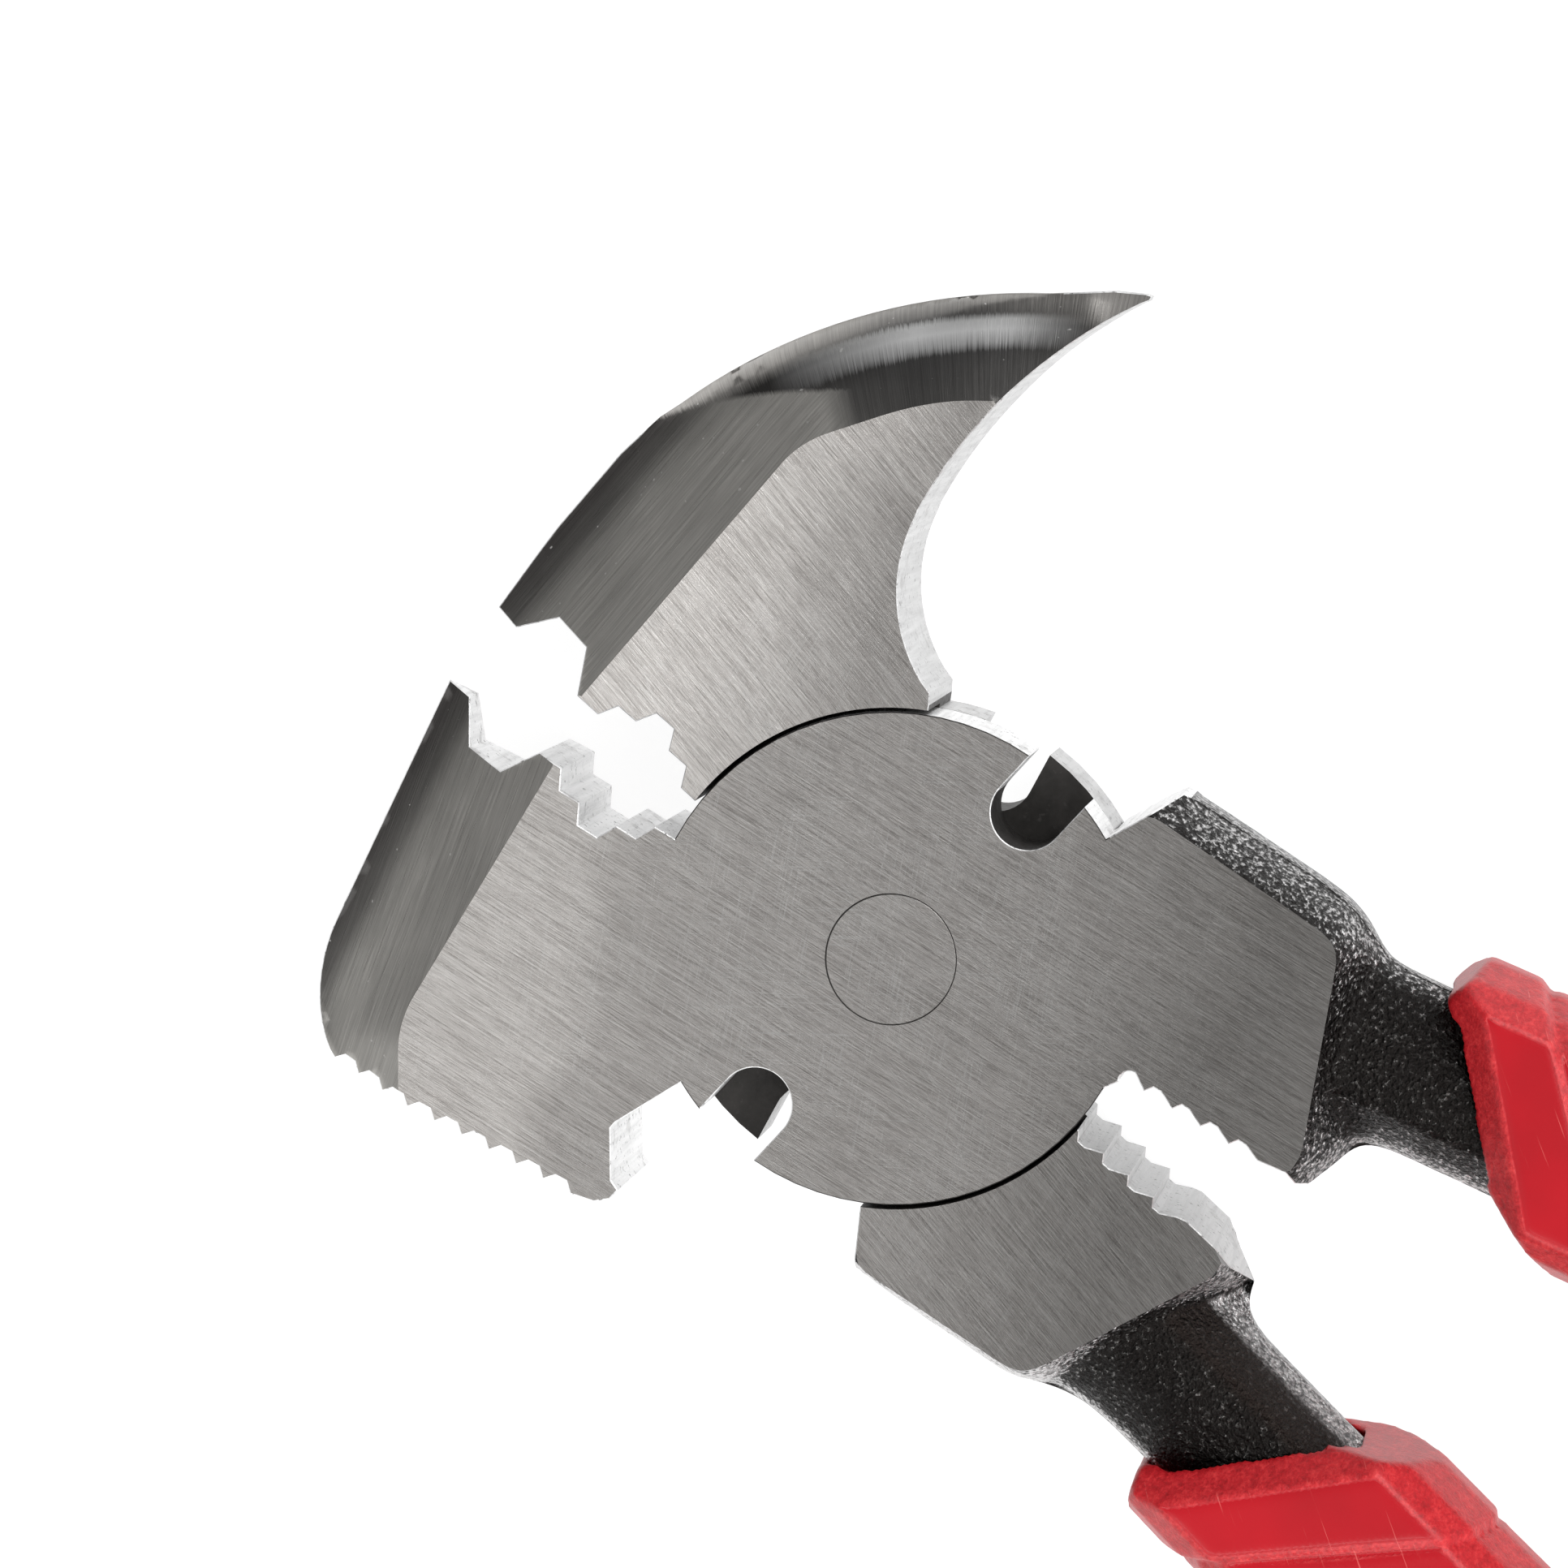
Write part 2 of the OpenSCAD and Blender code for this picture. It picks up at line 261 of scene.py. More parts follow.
def faced_out(o):
    """Turns every face of a closed mesh outwards."""
    bm = bmesh.new()
    bm.from_mesh(o.data)
    bmesh.ops.recalc_face_normals(bm, faces=bm.faces)
    bm.to_mesh(o.data)
    bm.free()
    return o


# ------------------------------------------------------------------ material helpers

class Tree:
    """Short spelling for building a material's nodes."""

    def __init__(self, name):
        self.mat = bpy.data.materials.new(name)
        self.mat.use_nodes = True
        self.t = self.mat.node_tree
        self.t.nodes.clear()
        self.out = self.t.nodes.new("ShaderNodeOutputMaterial")
        self.shader = self.t.nodes.new("ShaderNodeBsdfPrincipled")
        self.t.links.new(self.shader.outputs[0], self.out.inputs[0])

    def node(self, kind, **inputs):
        n = self.t.nodes.new("ShaderNode" + kind)
        for k, v in inputs.items():
            self.put(n, k.replace("_", " "), v)
        return n

    def put(self, n, key, v):
        """Sets a node's input, by name or by number, to a value or another node's output."""
        s = n.inputs[int(key)] if key.isdigit() else n.inputs[key]
        if isinstance(v, bpy.types.NodeSocket):
            self.t.links.new(v, s)
        else:
            s.default_value = v

    def set(self, **values):
        for k, v in values.items():
            self.put(self.shader, k.replace("_", " "), v)

    def place(self):
        return self.node("TexCoord").outputs["Object"]

    def math(self, op, a, b=0.0, clamp=False):
        n = self.t.nodes.new("ShaderNodeMath")
        n.operation, n.use_clamp = op, clamp
        self.put(n, "0", a)
        self.put(n, "1", b)
        return n.outputs[0]

    def split(self, v):
        n = self.node("SeparateXYZ")
        self.put(n, "0", v)
        return n.outputs

    def grain(self, turn, along, across, detail=3.0, rough=0.6, seed=0.0, deep=0.003):
        """Noise drawn out along a direction in the plan. Sizes are in metres."""
        m = self.node("Mapping")
        m.vector_type = "TEXTURE"
        self.put(m, "Vector", self.place())
        m.inputs["Rotation"].default_value = (0, 0, turn)
        m.inputs["Scale"].default_value = (along, across, deep)
        m.inputs["Location"].default_value = (seed, seed * 0.7, 0)
        n = self.node("TexNoise", Scale=1.0, Detail=detail, Roughness=rough)
        self.put(n, "Vector", m.outputs[0])
        return n.outputs["Fac"]

    def noise(self, size, detail=4.0, rough=0.55, seed=0.0):
        """Even noise with features of about that size in metres."""
        m = self.node("Mapping")
        self.put(m, "Vector", self.place())
        m.inputs["Location"].default_value = (seed, seed * 1.3, -seed)
        n = self.node("TexNoise", Scale=1.0 / size, Detail=detail, Roughness=rough)
        self.put(n, "Vector", m.outputs[0])
        return n.outputs["Fac"]

    def ramp(self, fac, *stops):
        """Colour ramp from (position, colour or grey) stops."""
        n = self.node("ValToRGB")
        self.put(n, "Fac", fac)
        e = n.color_ramp.elements
        while len(e) < len(stops):
            e.new(0.5)
        for i, (p, c) in enumerate(stops):
            e[i].position = p
            e[i].color = tuple(c) + (1,) if hasattr(c, "__len__") else (c, c, c, 1)
        return n.outputs["Color"]

    def mix(self, fac, a, b, mode="MIX"):
        n = self.t.nodes.new("ShaderNodeMix")
        n.data_type, n.blend_type = "RGBA", mode
        self.put(n, "0", fac)
        for s, v in (("6", a), ("7", b)):
            self.put(n, s, tuple(v) + (1,) if isinstance(v, (tuple, list)) and len(v) == 3 else v)
        return n.outputs[2]

    def bump(self, height, distance, strength):
        n = self.node("Bump", Strength=strength, Distance=distance)
        self.put(n, "Height", height)
        return n.outputs[0]


def brushed(name, turn, seed, *stops):
    """Ground steel face: fine grain one way, scratched near the pivot. The stops give a painted
    reflection: how its brightness runs from the handles to the jaws, lighter towards the jaws."""
    t = Tree(name)
    x, y, _ = t.split(t.place())
    fine = t.grain(turn, 0.0032, 0.000065, 3, 0.65, seed)
    wide = t.grain(turn, 0.007, 0.00015, 2, 0.6, seed + 3)
    value = t.math("ADD", t.math("MULTIPLY", fine, 0.72), t.math("MULTIPLY", wide, 0.28))
    bright = (1.0, 0.98, 0.95)
    base = t.ramp(value, (0.37, (0.60, 0.565, 0.535)), (0.50, (0.86, 0.82, 0.785)),
                  (0.63, (1.0, 0.97, 0.935)))
    # stray scratches in several directions, strongest round the pivot
    r = t.math("SQRT", t.math("ADD", t.math("MULTIPLY", x, x), t.math("MULTIPLY", y, y)))
    near = t.math("SUBTRACT", 1.15, t.math("MULTIPLY", r, 24), clamp=True)
    for i, (a, thick) in enumerate(((0.5, 0.0001), (-0.35, 0.00009), (1.9, 0.0001), (-1.2, 0.00011))):
        scratch = t.grain(turn + a, 0.004, thick, 2, 0.5, seed + 11 * (i + 1))
        patch = t.noise(0.008, 2, 0.5, seed + 5 * i)
        line = t.ramp(scratch, (0.585, 0.0), (0.635, 1.0))
        mask = t.math("MULTIPLY", t.ramp(patch, (0.44, 0.0), (0.54, 1.0)), near)
        base = t.mix(t.math("MULTIPLY", t.math("MULTIPLY", line, mask), 0.75), base, bright)
    # long bright scratches along the grain, and tiny pits
    lone = t.ramp(t.grain(turn + 0.03, 0.008, 0.0001, 2, 0.4, seed + 70), (0.70, 0.0), (0.76, 1.0))
    base = t.mix(t.math("MULTIPLY", lone, 0.6), base, bright)
    pit = t.ramp(t.noise(0.0005, 1, 0.3, seed + 9), (0.77, 0.0), (0.81, 1.0))
    base = t.mix(t.math("MULTIPLY", pit, 0.8), base, bright)
    # painted reflection, lighter towards the jaws: from 0 at 36 mm behind the pivot to 1 at 37 mm in front
    # of it, on a slight slant
    f = t.math("ADD", y, t.math("MULTIPLY", x, -0.22))
    f = t.math("MULTIPLY", t.math("ADD", f, 0.036), 13.7, clamp=True)
    cloud = t.math("SUBTRACT", t.noise(0.016, 2, 0.5, seed), 0.5)
    f = t.math("ADD", f, t.math("MULTIPLY", cloud, 0.16))
    base = t.mix(1.0, base, t.ramp(f, *stops), "MULTIPLY")
    t.set(Base_Color=base, Metallic=1.0)
    t.set(Roughness=t.ramp(value, (0.3, 0.30), (0.7, 0.42)))
    t.set(Normal=t.bump(value, 0.00005, 0.6))
    return t.mat


def horn_reflection_bands(t, x, y, centre):
    """Painted reflection on the claw's horn, in dark and bright bands round a centre: how far they
    cover the bevel, the colours, and the marks, which point to the centre."""
    dx, dy = t.math("SUBTRACT", x, centre[0]), t.math("SUBTRACT", y, centre[1])
    angle = t.math("ARCTAN2", dy, dx)
    away = t.math("SQRT", t.math("ADD", t.math("MULTIPLY", dx, dx), t.math("MULTIPLY", dy, dy)))
    v = t.node("CombineXYZ")
    t.put(v, "X", t.math("MULTIPLY", angle, 420.0))
    t.put(v, "Y", t.math("MULTIPLY", away, 150.0))
    n = t.node("TexNoise", Scale=1.0, Detail=3.0, Roughness=0.65)
    t.put(n, "Vector", v.outputs[0])
    mark = n.outputs["Fac"]
    ragged = t.math("SUBTRACT", mark, 0.5)
    # they start as a narrow wedge along the outer edge, then take the whole bevel
    wedge = t.math("SUBTRACT", away, t.math("ADD", t.math("MULTIPLY", angle, 0.0172), 0.0285))
    wedge = t.math("ADD", wedge, t.math("MULTIPLY", ragged, 0.0008))
    wedge = t.math("MULTIPLY", wedge, 2200.0, clamp=True)
    whole = t.math("MULTIPLY", t.math("SUBTRACT", 0.925, angle), 16.0, clamp=True)
    where = t.math("MAXIMUM", wedge, whole)
    # painted reflection, a dark band by the crease and a bright highlight further out: from 0 at 40 mm off
    # the centre, by the crease, to 1 at 50 mm, past the outer edge
    band = t.math("ADD", away, t.math("MULTIPLY", ragged, 0.0012))
    band = t.math("MULTIPLY", t.math("SUBTRACT", band, 0.040), 100.0, clamp=True)
    dull_reflection = t.ramp(band, (0.10, (0.17, 0.165, 0.158)), (0.35, (0.13, 0.126, 0.121)),
                   (0.50, (0.06, 0.057, 0.055)), (0.70, (0.05, 0.048, 0.046)),
                   (0.77, (0.20, 0.192, 0.182)), (0.90, (0.34, 0.327, 0.31)))
    bright = t.ramp(band, (0.15, (0.10, 0.097, 0.094)), (0.49, (0.085, 0.083, 0.082)),
                    (0.56, (0.58, 0.58, 0.58)), (0.66, (0.98, 0.98, 0.98)),
                    (0.74, (0.82, 0.82, 0.815)), (0.79, (0.12, 0.117, 0.114)),
                    (0.92, (0.22, 0.212, 0.20)))
    # where round the centre the painted highlight shows
    highlight_span = t.ramp(t.math("DIVIDE", angle, math.pi), (0.135, 0.0), (0.18, 0.75), (0.235, 1.0),
                  (0.28, 0.4), (0.32, 0.0))
    horn = t.mix(highlight_span, dull_reflection, bright)
    # painted dark reflection towards the horn's tip
    tip = t.math("MULTIPLY", t.math("SUBTRACT", 0.60, angle), 4.0, clamp=True)
    horn = t.mix(t.math("MULTIPLY", tip, 0.75), horn, (0.09, 0.087, 0.084))
    return where, horn, mark


def polished(name, turn, seed, centre=None):
    """Dark, finer ground bevels, painted darker towards their outer edge as a dark reflection, with
    the horn's painted reflection bands where a centre is given."""
    t = Tree(name)
    x, y, z = t.split(t.place())
    off = t.math("ABSOLUTE", t.math("SUBTRACT", z, MID / 1000))
    edge = t.math("DIVIDE", off, MID / 1000)
    cloud = t.noise(0.006, 4, 0.6, seed)
    fine = t.grain(turn, 0.007, 0.0001, 3, 0.6, seed)
    # painted dark reflection: darker towards the outer edge, nearer mid thickness
    base = t.ramp(edge, (0.10, (0.055, 0.051, 0.049)), (0.27, (0.11, 0.106, 0.10)),
                  (0.44, (0.31, 0.301, 0.283)), (0.60, (0.425, 0.412, 0.388)),
                  (0.95, (0.445, 0.432, 0.408)))
    if centre:
        where, horn, mark = horn_reflection_bands(t, x, y, centre)
        fine = t.split(t.mix(where, fine, mark))[0]
        base = t.mix(where, base, horn)
    base = t.mix(0.28, base, t.ramp(fine, (0.30, 0.25), (0.5, 0.5), (0.70, 0.80)), "OVERLAY")
    base = t.mix(0.25, base, t.ramp(cloud, (0.3, 0.35), (0.7, 0.65)), "OVERLAY")
    speck = t.ramp(t.noise(0.0005, 1, 0.3, seed + 9), (0.78, 0.0), (0.82, 1.0))
    base = t.mix(t.math("MULTIPLY", speck, 0.5), base, (0.8, 0.79, 0.77))
    t.set(Base_Color=base, Metallic=1.0)
    t.set(Roughness=t.ramp(fine, (0.3, 0.26), (0.7, 0.36)))
    t.set(Normal=t.bump(fine, 0.00003, 0.5))
    return t.mat


def machined(name, seed, bright):
    """Bright sheared and broached walls with faint tool marks and specks, bright scaling them
    as painted light.
    """
    t = Tree(name)
    marks = t.grain(0.0, 0.0005, 0.0005, 3, 0.6, seed, deep=0.012)
    blot = t.noise(0.0035, 5, 0.65, seed)
    speck = t.noise(0.0006, 3, 0.7, seed + 4)
    base = t.ramp(marks, (0.25, 0.50 * bright), (0.55, 0.66 * bright), (0.8, 0.74 * bright))
    base = t.mix(t.ramp(blot, (0.56, 0.0), (0.70, 0.5)), base, (0.25, 0.24, 0.235))
    base = t.mix(t.ramp(speck, (0.60, 0.0), (0.68, 0.8)), base, (0.12, 0.115, 0.115))
    t.set(Base_Color=base, Metallic=1.0)
    t.set(Roughness=t.ramp(marks, (0.3, 0.38), (0.7, 0.5)))
    t.set(Normal=t.bump(t.math("ADD", marks, t.math("MULTIPLY", blot, 0.5)), 0.00012, 0.5))
    return t.mat


def forged(name, seed, lit, shaded=0.0):
    """Black forging skin whose grain glitters, painted to follow the light: thinly on level faces
    and thickly on steep ones, lit giving how that leans to +X. Where shaded, facets that face +X
    are painted in shade, dark above a thin rough strip at mid thickness."""
    t = Tree(name)
    v = t.node("TexVoronoi", Scale=2600.0, Randomness=1.0)
    t.put(v, "Vector", t.place())
    grit = t.noise(0.00042, 3, 0.65, seed)
    lump = t.noise(0.003, 3, 0.5, seed + 2)
    h = t.math("ADD", grit, t.math("MULTIPLY", v.outputs["Distance"], -0.4))
    h = t.math("ADD", h, t.math("MULTIPLY", lump, 0.8))
    nx, _, nz = t.split(t.node("TexCoord").outputs["Normal"])
    tilt = t.math("SUBTRACT", 1.0, t.math("ABSOLUTE", nz))
    steep = t.ramp(tilt, (0.0, 0.0), (0.36, 0.15), (0.52, 0.62), (0.8, 1.0))
    # painted light: the glitter thickens on steep faces and leans by lit towards or away from +X
    level = t.math("ADD", grit, t.math("MULTIPLY", steep, 0.20))
    level = t.math("ADD", level, t.math("MULTIPLY", t.math("MULTIPLY", nx, steep), lit))
    lit_grain = t.ramp(level, (0.52, (0.014, 0.013, 0.0125)), (0.62, (0.04, 0.039, 0.038)),
                   (0.70, (0.36, 0.355, 0.355)), (0.82, (0.66, 0.65, 0.65)))
    shaded_grain = t.ramp(level, (0.52, (0.010, 0.009, 0.0085)), (0.62, (0.021, 0.020, 0.019)),
                  (0.76, (0.14, 0.135, 0.13)))
    # painted light: steep faces take the lit grain, level faces the shaded grain
    base = t.mix(t.math("MULTIPLY", steep, 2.2, clamp=True), shaded_grain, lit_grain)
    if shaded:
        off = t.math("ABSOLUTE", t.math("SUBTRACT", t.split(t.place())[2], MID / 1000))
        # painted shade on the facets that face +X
        shaded_facet = t.math("MULTIPLY", t.math("MULTIPLY", nx, 2.4, clamp=True), shaded)
        base = t.mix(shaded_facet, base, (0.017, 0.0135, 0.012))
        strip = t.ramp(t.math("DIVIDE", off, MID / 1000), (0.30, 1.0), (0.42, 0.0))
        strip = t.math("MULTIPLY", strip, shaded_facet)
        base = t.mix(strip, base, t.ramp(grit, (0.40, 0.10), (0.62, 0.55)))
    t.set(Base_Color=base, Metallic=1.0)
    t.set(Roughness=t.ramp(grit, (0.3, 0.42), (0.7, 0.24)))
    t.set(Normal=t.bump(h, 0.0004, 0.85))
    return t.mat


def mating(name, seed):
    """Dark lap face between the plates, painted near black as the shade in the notches and joint."""
    t = Tree(name)
    n = t.noise(0.003, 5, 0.6, seed)
    rings = t.noise(0.0007, 3, 0.6, seed + 1)
    base = t.ramp(n, (0.3, (0.012, 0.011, 0.010)), (0.7, (0.035, 0.032, 0.030)))
    base = t.mix(t.ramp(rings, (0.62, 0.0), (0.75, 0.35)), base, (0.09, 0.085, 0.08))
    t.set(Base_Color=base, Metallic=0.6)
    t.set(Roughness=t.ramp(rings, (0.3, 0.42), (0.7, 0.6)))
    t.set(Normal=t.bump(n, 0.0001, 0.4))
    return t.mat


def moulded_red(name, seed):
    """Glossy red moulding whose slanted facets have a fine sandy grain."""
    t = Tree(name)
    nz = t.math("ABSOLUTE", t.split(t.node("TexCoord").outputs["Normal"])[2])
    flat = t.ramp(nz, (0.955, 0.0), (0.985, 1.0))
    grain = t.noise(0.00035, 4, 0.7, seed)
    coarse = t.noise(0.0011, 3, 0.6, seed + 1)
    sand = t.math("ADD", t.math("MULTIPLY", grain, 0.7), t.math("MULTIPLY", coarse, 0.5))
    cloud = t.noise(0.015, 3, 0.5, seed + 2)
    scuff = t.ramp(t.grain(0.9, 0.009, 0.00018, 2, 0.5, seed + 3), (0.70, 0.0), (0.76, 1.0))
    base = t.ramp(cloud, (0.3, (0.28, 0.0015, 0.006)), (0.7, (0.375, 0.002, 0.008)))
    sandy = t.ramp(sand, (0.42, (0.24, 0.003, 0.006)), (0.60, (0.37, 0.007, 0.012)),
                   (0.80, (0.52, 0.028, 0.030)))
    base = t.mix(flat, sandy, base)
    base = t.mix(t.math("MULTIPLY", scuff, 0.25), base, (0.85, 0.25, 0.22))
    t.set(Base_Color=base)
    t.set(Specular_IOR_Level=0.30, Coat_Weight=0.12, Coat_Roughness=0.12)
    t.set(Roughness=t.ramp(flat, (0.0, 0.42), (1.0, 0.27)))
    depth = t.math("MULTIPLY", sand, t.math("SUBTRACT", 1.0, t.math("MULTIPLY", flat, 0.93)))
    t.set(Normal=t.bump(depth, 0.0002, 0.6))
    return t.mat


def soft_black(name, seed):
    """Matt black soft panel with a fine grain."""
    t = Tree(name)
    grain = t.noise(0.0003, 4, 0.7, seed)
    cloud = t.noise(0.01, 3, 0.5, seed + 1)
    base = t.ramp(cloud, (0.3, (0.016, 0.016, 0.017)), (0.7, (0.032, 0.031, 0.031)))
    t.set(Base_Color=base)
    t.set(Roughness=t.ramp(grain, (0.3, 0.55), (0.7, 0.72)))
    t.set(Normal=t.bump(grain, 0.00008, 0.6))
    return t.mat


# ------------------------------------------------------------------ the forged halves

GROUND, BEVEL, WALL, FORGED, LAP = range(5)
EDGE, ROLLED_EDGE = 0.09, 0.03                      # broken edges of machined and rolled outlines
ROLLED = 0.05                                       # an edge with a larger radius is rolled
FRONT_Y = 4                                         # the jaws' bevels lie beyond this
REAR_Y, SKIN_Y = -6, -10                            # handle blocks and forging skin lie behind these
FACE_GAP = 0.12                                     # from a ground face to the slope beside it
SHANK_DROP = 1.55                                   # ridge of a shank below the ground face
TANG_Y, TANG_HALF = -12.0, 4.45                     # on a handle: its tang's start and half thickness
GRID, CROWDED = 0.8, 0.26                           # spacing of mesh points, and too close together
RIM_CLEAR, CREASE_CLEAR = 0.11, 0.22                # mesh points stay this far from the lines


def fall(p, at, direction, slope):
    """Depth of a plane that slopes down from a point, towards a direction in degrees."""
    a = math.radians(direction)
    return slope * ((p[:, 0] - at[0]) * math.cos(a) + (p[:, 1] - at[1]) * math.sin(a))


class Half:
    """One forged half, shaped as matching height fields above and below mid thickness. A plane is a
    bevel or the steeper nose beyond one, as (point, direction, slope, depth at that point)."""

    def __init__(self, node, cut_z, turn, ground, flank, bridge, crease_from, planes, axis, lean, side,
                 is_forged, roll):
        self.axis, self.lean, self.side = np.array(axis), math.radians(lean), side
        self.planes, self.flank = planes, flank
        self.is_forged, self.roll_radius = is_forged, roll
        loops = [turned(lp, -turn) for lp in loops_at(node, cut_z)]
        lp = tidied(max(loops, key=lambda q: np.ptp(q[:, 1])))
        # outline points within a small circle are dropped, so that a straight run bridges it
        lp = lp[np.linalg.norm(lp - np.array(bridge[:2]), axis=1) > bridge[2]]
        g = densified(np.array(ground, float), lambda m: 0.5)
        self.ground = relaxed(g, np.ones(len(g), bool), 3)
        lp = densified(lp, self.spacing)
        loose = np.array([is_forged(q) for q in lp])
        loose &= np.roll(loose, 1) & np.roll(loose, -1)
        self.outline = relaxed(lp, loose, 26)
        self.radii = np.array([roll(q) for q in self.outline])
        self.crease = self.find_crease(crease_from)

    def spacing(self, m):
        """Longest outline segment round a point."""
        if self.is_forged(m) or self.roll_radius(m) > 0:
            return 0.7
        if -18 < m[1] < -8 and abs(m[0]) > 14:
            return 0.35
        return 0.9 if self.drop(m[None])[0] > -0.4 else 3.0

    def drop(self, p):
        """How far the ground face's bevels lie below the face, negative where they don't reach."""
        d = None
        for at, direction, slope, start in self.planes:
            f = fall(p, at, direction, slope) + start
            d = f if d is None else smax(d, f, 1.6 if start else 0.8)
        return d

    def find_crease(self, c):
        """Where the bevels meet the ground face, found outwards from a point inside it."""
        c, out = np.array(c, float), []
        for a in np.arange(-30, 200, 0.7):
            d = np.array([math.cos(math.radians(a)), math.sin(math.radians(a))])
            r = np.linspace(0.5, 60, 400)
            f = self.drop(c + r[:, None] * d)
            k = np.argmax(f > 0)
            if f[k] > 0:
                out.append(c + d * (r[k - 1] + (r[k] - r[k - 1]) * (-f[k - 1]) / (f[k] - f[k - 1])))
        return np.array(out)

    def off_face(self, p):
        """Distance from the flat that the handle block and the joint plate share, negative on it."""
        return np.minimum(signed(p, self.ground), np.linalg.norm(p, axis=1) - DISC_R)

    def height(self, p):
        """Height of the front surface above mid thickness."""
        z = TOP - np.maximum(self.drop(p), 0) * (p[:, 1] > FRONT_Y)
        s = self.off_face(p)
        block = TOP - self.flank * np.maximum(s - FACE_GAP, 0)
        # the shank: level along its ridge, with a slope to each side
        q = turned(p - self.axis, -self.lean)
        x = q[:, 0] * self.side
        ridge_in = smax(np.zeros(len(p)), 1.25 * (-x - 3.6), 0.3)
        ridge_out = smax(np.zeros(len(p)), 1.1 * (x - 3.4), 5.0)
        shank = TOP - SHANK_DROP - ridge_in - ridge_out
        shank = np.where(q[:, 1] < TANG_Y, MID + TANG_HALF, shank)
        z = np.where((p[:, 1] < REAR_Y) & (s > 0), np.minimum(TOP, smax(block, shank, 2.2)), z)
        # roll over towards the rounded parts of the outline, but not beside a ground face
        rr = (self.radii + np.roll(self.radii, -1)) / 2
        on = rr > ROLLED
        d, k = seg_distance(p, self.outline[on], np.roll(self.outline, -1, 0)[on])
        rad = rr[on][k]
        dip = np.where(d < rad, rad - np.sqrt(np.maximum(rad ** 2 - (rad - d) ** 2, 0)), 0)
        dip = np.where(p[:, 1] < REAR_Y, dip * np.clip(s / 0.6, 0, 1), dip)
        body = z - MID
        return np.maximum(body - dip, 0.35 * body)

    def points(self):
        """Plan points for the face sheet: the inset outline, the creases, then rings and a grid."""
        o = self.outline
        e = unit(np.roll(o, -1, 0) - o)
        left = np.stack([-e[:, 1], e[:, 0]], 1)
        n = left + np.roll(left, 1, 0)
        n = n / np.maximum((n ** 2).sum(1, keepdims=True) / 2, 0.35)
        rolled = self.radii > ROLLED
        rim = o + n * np.where(rolled, ROLLED_EDGE, EDGE)[:, None]
        extra = [(o + n * ring)[rolled] for ring in (0.14, 0.42, 0.85, 1.4, 2.0)]
        lo, hi = o.min(0), o.max(0)
        gx, gy = np.meshgrid(np.arange(lo[0], hi[0], GRID), np.arange(lo[1], hi[1], GRID))
        gx[1::2] += GRID / 2
        grid = np.stack([gx.ravel(), gy.ravel()], 1)
        s = signed(grid, self.ground)
        sloped = (self.drop(grid) > 0.2) & (grid[:, 1] > FRONT_Y)
        sloped |= (grid[:, 1] < -11) & (s > 0.25) & (s < 32)
        extra = np.vstack(extra + [grid[sloped]])
        extra = extra[inside(extra, [rim])]
        # keep off the rim and off both creases
        d, _ = seg_distance(extra, rim, np.roll(rim, -1, 0))
        extra = extra[d > RIM_CLEAR]
        lines = [self.crease, np.vstack([self.ground, self.ground[:1]])]
        for ln in lines:
            d, _ = seg_distance(extra, ln[:-1], ln[1:])
            extra = extra[d > CREASE_CLEAR]
        # thin out points that crowd each other, first come first kept
        taken, chosen = set(), []
        for i, q in enumerate(extra):
            cell = (int(q[0] // CROWDED), int(q[1] // CROWDED))
            if cell not in taken:
                taken.add(cell)
                chosen.append(i)
        return rim, lines, extra[chosen]

    def sheet(self):
        """Plan triangles, run anticlockwise, over those points: the rim, the points, the triangles,
        and which given points each one came from."""
        rim, lines, extra = self.points()
        verts, edges = list(rim), [(i, (i + 1) % len(rim)) for i in range(len(rim))]
        for ln in lines:
            d, _ = seg_distance(ln, rim, np.roll(rim, -1, 0))
            keep = inside(ln, [rim]) & (d > 0.05)
            for i in range(len(ln) - 1):
                if keep[i] and keep[i + 1] and np.linalg.norm(ln[i + 1] - ln[i]) < 3:
                    k = len(verts)
                    verts += [ln[i], ln[i + 1]]
                    edges.append((k, k + 1))
        verts = [Vector(v) for v in verts + list(extra)]
        vs, _, tris, origin, _, _ = delaunay_2d_cdt(verts, edges, [], 0, 1e-4)
        vs = np.array(vs)
        tris = np.array([t for t in tris if len(t) == 3])
        tris = tris[inside(vs[tris].mean(1), [rim])]
        a, b, c = (vs[tris[:, i]] for i in range(3))
        area = (b - a)[:, 0] * (c - a)[:, 1] - (b - a)[:, 1] * (c - a)[:, 0]
        solid = np.abs(area) > 1e-7
        tris, flip = tris[solid], area[solid] < 0
        tris[flip] = tris[flip][:, ::-1]
        return rim, vs, tris, origin

    def on_outline(self, rim, vs, border, origin):
        """Place on the true outline for each point of the sheet's border, by point number."""
        outer = {}
        after = np.roll(rim, -1, 0)
        for u, _ in border:
            src = [k for k in origin[u] if k < len(rim)]
            if src:
                outer[u] = self.outline[src[0]]
            else:
                k = int(seg_distance(vs[u][None], rim, after)[1][0])
                e = unit(after[k] - rim[k])
                outer[u] = vs[u] - np.array([-e[1], e[0]]) * EDGE
        return outer

    def uneven(self, verts):
        """Slight unevenness of the forging skin, in the shape itself."""
        off = np.abs(verts[:, 2] - MID)
        forged_part = np.array([self.is_forged(q) for q in verts[:, :2]])
        still = self.outline[~np.array([self.is_forged(q) for q in self.outline])][:-1]
        near, _ = seg_distance(verts[:, :2], still, still + 1e-6)
        skin = (verts[:, 1] < SKIN_Y) & (off < TOP - MID - 0.05)
        skin &= forged_part | ((off < MID - 0.3) & (near >= 0.4))
        ids = np.nonzero(skin & (np.linalg.norm(verts[:, :2], axis=1) > 21.5))[0]
        w = rough(verts[ids], 1.7, 3.1) * 0.10 + rough(verts[ids], 5.0, 8.7) * 0.16
        verts[ids, 2] += w * np.sign(verts[ids, 2] - MID)

